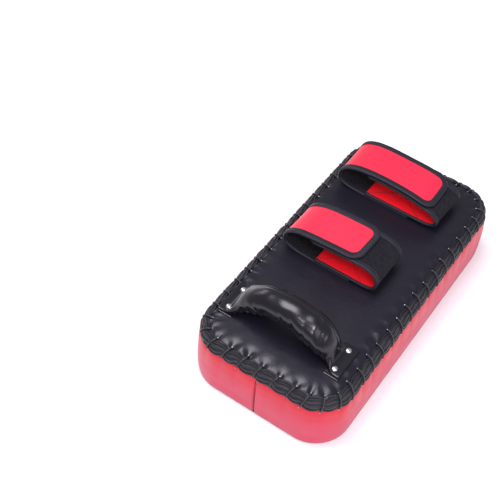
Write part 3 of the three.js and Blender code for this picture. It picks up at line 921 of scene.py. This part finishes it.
def build_band(spec, kind, tip):
    """One band of a strap: its two layers, the edge tape and the thread that holds it. Each piece hides the
    CAD nodes that it stands for."""
    band = BANDS[kind]
    name = spec["name"]
    strap = Strap(spec[kind], spec["y"], band["outward"])

    def bend(obj, slot, nodes):
        settle(obj, None, nodes)
        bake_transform(obj)

    for layer, under, over, slot, material in band["layers"]:
        skin = strap_layer(f"{name}_{kind}_{layer}_skin", strap, under, over, tip, material)
        bend(skin, slot, [f"{name}_{band['sewn_down']}_{layer}", f"{name}_{kind}_{layer}"])
    edge = strap_binding(f"{name}_{kind}_edge", strap, tip, band["lips"])
    sewn_down = [f"{name}_{band['sewn_down']}_binding_{side}" for side in ("front", "rear")]
    bend(edge, "edge_tape", [*sewn_down, f"{name}_{kind}_binding"])
    bend(edge_thread(f"{name}_{kind}_thread", strap, tip, band["lips"][0]), "edge_tape", [])
    return strap


def build_strap(spec):
    """One forearm strap: the hook band with its red face, and the loop band that it closes over."""
    build_band(spec, "hook", spec["tip"])
    loop = build_band(spec, "loop", KEEPER_TIP)
    settle(cross_stitch(f"{spec['name']}_cross_stitch", loop, 3.0, spec["sewn"], -LAYER_TOP))


# ---------------------------------------------------------------- hand grip

# The grip's middle line, and its half width and half thickness: (x, z, half width, half thickness).
GRIP_LINE = [
    (-84, 84.8, 22.5, 1.2), (-77, 84.8, 22.5, 1.2), (-70.5, 85.2, 22.4, 1.8), (-66, 88.4, 22.0, 4.4),
    (-61, 94.5, 20.6, 8.6), (-53, 102.2, 19.2, 12.4), (-43, 109.0, 18.4, 14.8), (-29, 115.5, 17.8, 16.0),
    (-12, 119.2, 17.5, 16.6), (6, 118.6, 17.8, 17.2), (22, 114.3, 18.8, 18.1), (36, 107.8, 19.6, 17.6),
    (45, 100.8, 18.8, 13.6), (51.5, 94.4, 16.8, 8.8), (56.5, 89.6, 15.8, 5.2), (60.5, 86.6, 17.4, 2.8),
    (63.5, 85.1, 21.2, 1.5), (68, 84.8, 22.0, 1.2), (76, 84.8, 22.0, 1.2),
]


def grip_surface(count=210, sides=112):
    """The stuffed grip as a grid of points, rows along it and columns round it."""
    line = smooth_line([(x, z, w, t) for x, z, w, t in GRIP_LINE], step=0.85, window=6.0)
    pick = np.linspace(0, len(line) - 1, count)
    x, z, wide, thick = (np.interp(pick, np.arange(len(line)), line[:, k]) for k in range(4))
    along = np.concatenate([[0.0], np.cumsum(np.hypot(np.diff(x), np.diff(z)))])
    tangent = np.stack([np.gradient(x), np.gradient(z)], axis=1)
    tangent /= np.linalg.norm(tangent, axis=1)[:, None]

    turn = np.linspace(0.0, TURN, sides, endpoint=False)
    stuffed = smoothstep(1.4, 9.0, thick)[:, None]
    power = 0.3 + 0.7 * stuffed
    cos = np.sign(np.cos(turn)) * np.abs(np.cos(turn)) ** power
    sin = np.sign(np.sin(turn)) * np.abs(np.sin(turn)) ** power

    u = along[:, None]
    theta = turn[None, :]
    relief = stuffed * grip_relief(u, theta, along[-1])
    y = GRIP_Y + cos * (wide[:, None] + relief)
    out = sin * (thick[:, None] + relief)
    return np.stack([x[:, None] - tangent[:, 1:] * out, y, z[:, None] + tangent[:, :1] * out], axis=-1)


def angle_from(theta, degrees, sway=0.0):
    """How far theta is round from a place on the grip's section, from half a turn back to half on."""
    return (theta - (math.radians(degrees) + sway) + math.pi) % TURN - math.pi


def bell(x, width):
    return np.exp(-((x / width) ** 2))


def grip_relief(u, theta, length):
    """Soft folds that run up from the gathered seam on the grip's lower front, and the seam at its rear.
    u is the distance along the grip, and theta the angle round it."""
    away = angle_from(theta, 218.0, 0.05 * np.sin(u / 9.0))
    up = np.maximum(-away, 0.0)
    down = np.maximum(away, 0.0)

    folds = np.random.default_rng(21)
    spacing = 9.2
    relief = np.zeros(np.broadcast(u, theta).shape)
    for centre in np.arange(14.0, length - 10.0, spacing):
        centre = centre + folds.normal(0.0, 1.6)
        reach = folds.uniform(0.5, 1.0)
        slope = folds.uniform(-12.0, -3.0)
        depth = folds.uniform(0.9, 2.2)
        width = folds.uniform(2.4, 3.5)
        middle = u - centre - slope * up + 2.0 * down
        relief -= depth * bell(up, reach) * bell(down, 0.7) * bell(middle, width)

    # A long ridge and groove above the seam, between the grip's two ends.
    wander = 0.12 * np.sin(u / 17.0)
    between = smoothstep(30.0, 60.0, u) * (1.0 - smoothstep(length - 42.0, length - 26.0, u))
    relief += between * 0.6 * bell(up - 1.3 + wander, 0.36)
    relief -= between * 0.5 * bell(up - 0.62 + wander, 0.24)

    # The dent across the top where the stuffing ends, before the leg.
    shoulder = u - (length - 40.0) + 6.0 * up
    dent = 0.8 * bell(shoulder + 8.0, 5.5) - 1.5 * bell(shoulder, 4.2)
    relief += dent * smoothstep(0.9, 1.6, up) * (1.0 - smoothstep(2.3, 3.0, up))

    ruffle = 0.6 + 0.9 * np.sin(u * TURN / spacing + 1.5 * np.sin(u / 13.0))
    ruffle = ruffle * bell(away, 0.2)
    rear = angle_from(theta, 58.0)
    piping = 0.45 * bell(rear, 0.07) - 0.5 * bell(np.abs(rear) - 0.17, 0.08)
    lumps = gentle_waves(u, theta * 14.0, 0.5, 38.0, 31)
    return relief + ruffle + piping + lumps


def build_grip():
    """The stuffed grip, in two halves that meet at its middle, both shaded with the whole grip's normals so
    that the cut doesn't show.
    """
    points = grip_surface()
    whole = grid_object("grip_whole", with_end_caps(points), GRIP_LEATHER, wrap_cols=True)
    rows, cols = points.shape[:2]
    normals = np.array([v.vector for v in whole.data.vertex_normals]).reshape(rows + 2, cols, 3)
    bpy.data.objects.remove(whole)

    cut = int(np.argmin(np.abs(points[:, :, 0].mean(axis=1) - GRIP_MIDDLE)))
    closed = with_end_caps(points)
    halves = {"left": slice(0, cut + 2), "right": slice(cut + 1, rows + 2)}
    nodes = {"left": ["grip_tab_left", "grip_sleeve"], "right": ["grip_tab_right", "grip_sleeve"]}
    for name, part in halves.items():
        half = grid_object(f"grip_skin_{name}", closed[part], GRIP_LEATHER, wrap_cols=True)
        half.data.normals_split_custom_set_from_vertices(normals[part].reshape(-1, 3).tolist())
        settle(half, None, nodes[name])
        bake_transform(half)


def node_centre(name):
    """The middle of a CAD node, seen from above, in mm."""
    low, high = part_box(name)
    return (low[0] + high[0]) / 2 / MM, (low[1] + high[1]) / 2 / MM


def build_patches():
    """The sewn leather patch under each tab, with a folded outer edge."""
    for name in ("left", "right"):
        middle, _ = node_centre(f"grip_patch_{name}")
        half_x, half_y, corner = 10.0, 25.0, 2.5
        turn = np.radians(np.arange(0.0, 360.0, 7.5))
        ring_x = np.sign(np.cos(turn)) * (half_x - corner) + np.cos(turn) * corner
        ring_y = np.sign(np.sin(turn)) * (half_y - corner) + np.sin(turn) * corner
        edge = [(0.0, 82.0), (0.0, 83.0), (0.35, 83.5), (1.0, 83.75), (2.2, 83.7), (9.0, 83.6)]
        rings = []
        for inset, z in edge:
            x = middle + ring_x * (1.0 - inset / half_x)
            y = GRIP_Y + ring_y * (1.0 - inset / half_y)
            rings.append(np.stack([x, y, np.full(len(turn), z)], axis=1))
        rings = with_end_caps(np.array(rings))
        patch = grid_object(f"grip_patch_skin_{name}", rings, GRIP_LEATHER, wrap_cols=True)
        merge_close(patch)
        settle(patch, stands_for=[f"grip_patch_{name}"])


# The rivets' outline, from the shank up over the cap: (radius, z).
RIVET_PROFILE = [
    (1.4, 77.8), (1.4, 85.6), (3.7, 85.6), (3.85, 85.9), (3.8, 86.35), (3.2, 87.1), (2.2, 87.7),
    (1.1, 87.95),
]
RIVET_PLACES = [f"{end}_{place}" for end in ("left", "right") for place in ("front", "rear")]


def build_rivets():
    """Domed nickel caps."""
    turn = np.linspace(0.0, TURN, 32, endpoint=False)
    for place in RIVET_PLACES:
        node = f"rivet_{place}"
        x, y = node_centre(node)
        rings = [
            np.stack([x + radius * np.cos(turn), y + radius * np.sin(turn), np.full(32, z)], axis=1)
            for radius, z in RIVET_PROFILE
        ]
        rivet = grid_object(f"{node}_cap", with_end_caps(np.array(rings)), NICKEL, wrap_cols=True)
        merge_close(rivet)
        settle(rivet, stands_for=[node])


# ---------------------------------------------------------------- hidden CAD pieces


def finish_hidden_pieces():
    """The foam and the washers keep their CAD shapes."""
    finishes = {"strike_foam": FOAM, "core_foam": FOAM, "back_foam": FOAM, "grip_core": FOAM}
    finishes |= {f"rivet_washer_{place}": NICKEL for place in RIVET_PLACES}
    for name, material in finishes.items():
        data = bpy.data.objects[name].data
        data.materials.clear()
        data.materials.append(material)


# ---------------------------------------------------------------- floor, light and camera


LIT_POINT = (0, 0, 0.05)


def build_stage():
    n = Nodes("pale_floor")
    n.set(Base_Color=(0.92, 0.92, 0.92, 1.0), Roughness=0.9, Specular_IOR_Level=0.1)
    mesh = bpy.data.meshes.new("floor")
    reach = 12.0
    corners = [(-reach, -reach, 0), (reach, -reach, 0), (reach, reach, 0), (-reach, reach, 0)]
    mesh.from_pydata(corners, [], [(0, 1, 2, 3)])
    mesh.materials.append(n.material)
    floor = bpy.data.objects.new("floor", mesh)
    bpy.context.scene.collection.objects.link(floor)


def set_place(obj, axes, place):
    """Puts a camera or lamp at a place, its own X, Y and Z along the columns of axes."""
    obj.matrix_world = Matrix([(*row, p) for row, p in zip(axes, place)] + [(0, 0, 0, 1)])


def add_area_light(name, place, size, power):
    """A soft light that faces the pad."""
    data = bpy.data.lights.new(name, "AREA")
    data.shape = "RECTANGLE"
    data.size, data.size_y = size
    data.energy = power
    data.color = (0.96, 0.92, 1.0)
    lamp = bpy.data.objects.new(name, data)
    bpy.context.scene.collection.objects.link(lamp)
    away = np.array(place) - np.array(LIT_POINT)
    away /= np.linalg.norm(away)
    side = np.cross([0.0, 0.0, 1.0], away)
    side /= np.linalg.norm(side)
    up = np.cross(away, side)
    set_place(lamp, np.stack([side, up, away], axis=1), place)


def build_light():
    world = bpy.data.worlds.new("studio")
    world.use_nodes = True
    background = world.node_tree.nodes["Background"]
    background.inputs["Color"].default_value = (0.98, 0.95, 1.0, 1.0)
    background.inputs["Strength"].default_value = 0.43
    bpy.context.scene.world = world
    add_area_light("overhead", (-0.35, -0.1, 1.5), (0.75, 0.75), 18)
    add_area_light("key", (0.5, -0.62, 1.28), (0.42, 0.24), 9)
    add_area_light("front", (0.5, -1.35, 1.15), (0.36, 0.24), 7)
    add_area_light("right", (1.7, -0.3, 0.9), (1.0, 0.6), 6)
    add_area_light("left", (-1.5, 0.5, 0.8), (0.8, 0.6), 5)
    bpy.context.scene.view_settings.view_transform = "Standard"


def build_camera():
    """The viewpoint: its turn and height, its distance, and where the pad sits in the frame."""
    azimuth, elevation, roll = (math.radians(v) for v in (32.03, 50.2, 3.67))
    distance = 1.2677
    focal = 2.0365  # of the frame's width
    pad_x, pad_y = 0.18738, -0.1013  # the pad's foot in the frame, right of and above its middle
    level_reach = math.cos(elevation)
    look = np.array(
        [-math.sin(azimuth) * level_reach, math.cos(azimuth) * level_reach, -math.sin(elevation)]
    )
    level = np.array([math.cos(azimuth), math.sin(azimuth), 0.0])
    raised = np.cross(level, look)
    right = level * math.cos(roll) + raised * math.sin(roll)
    up = -level * math.sin(roll) + raised * math.cos(roll)
    place = -distance * look - right * pad_x / focal * distance - up * pad_y / focal * distance
    data = bpy.data.cameras.new("camera")
    data.sensor_width = 36.0
    data.lens = 36.0 * focal
    camera = bpy.data.objects.new("camera", data)
    set_place(camera, np.stack([right, up, -look], axis=1), place)
    bpy.context.scene.collection.objects.link(camera)
    bpy.context.scene.camera = camera


build_camera()
build_back_cover()
build_side_bands()
build_strike_cover()
build_rim_tape()
build_lace()
build_side_seams()
build_strap(FOREARM)
build_strap(WRIST)
build_grip()
build_patches()
build_rivets()
finish_hidden_pieces()
build_stage()
build_light()
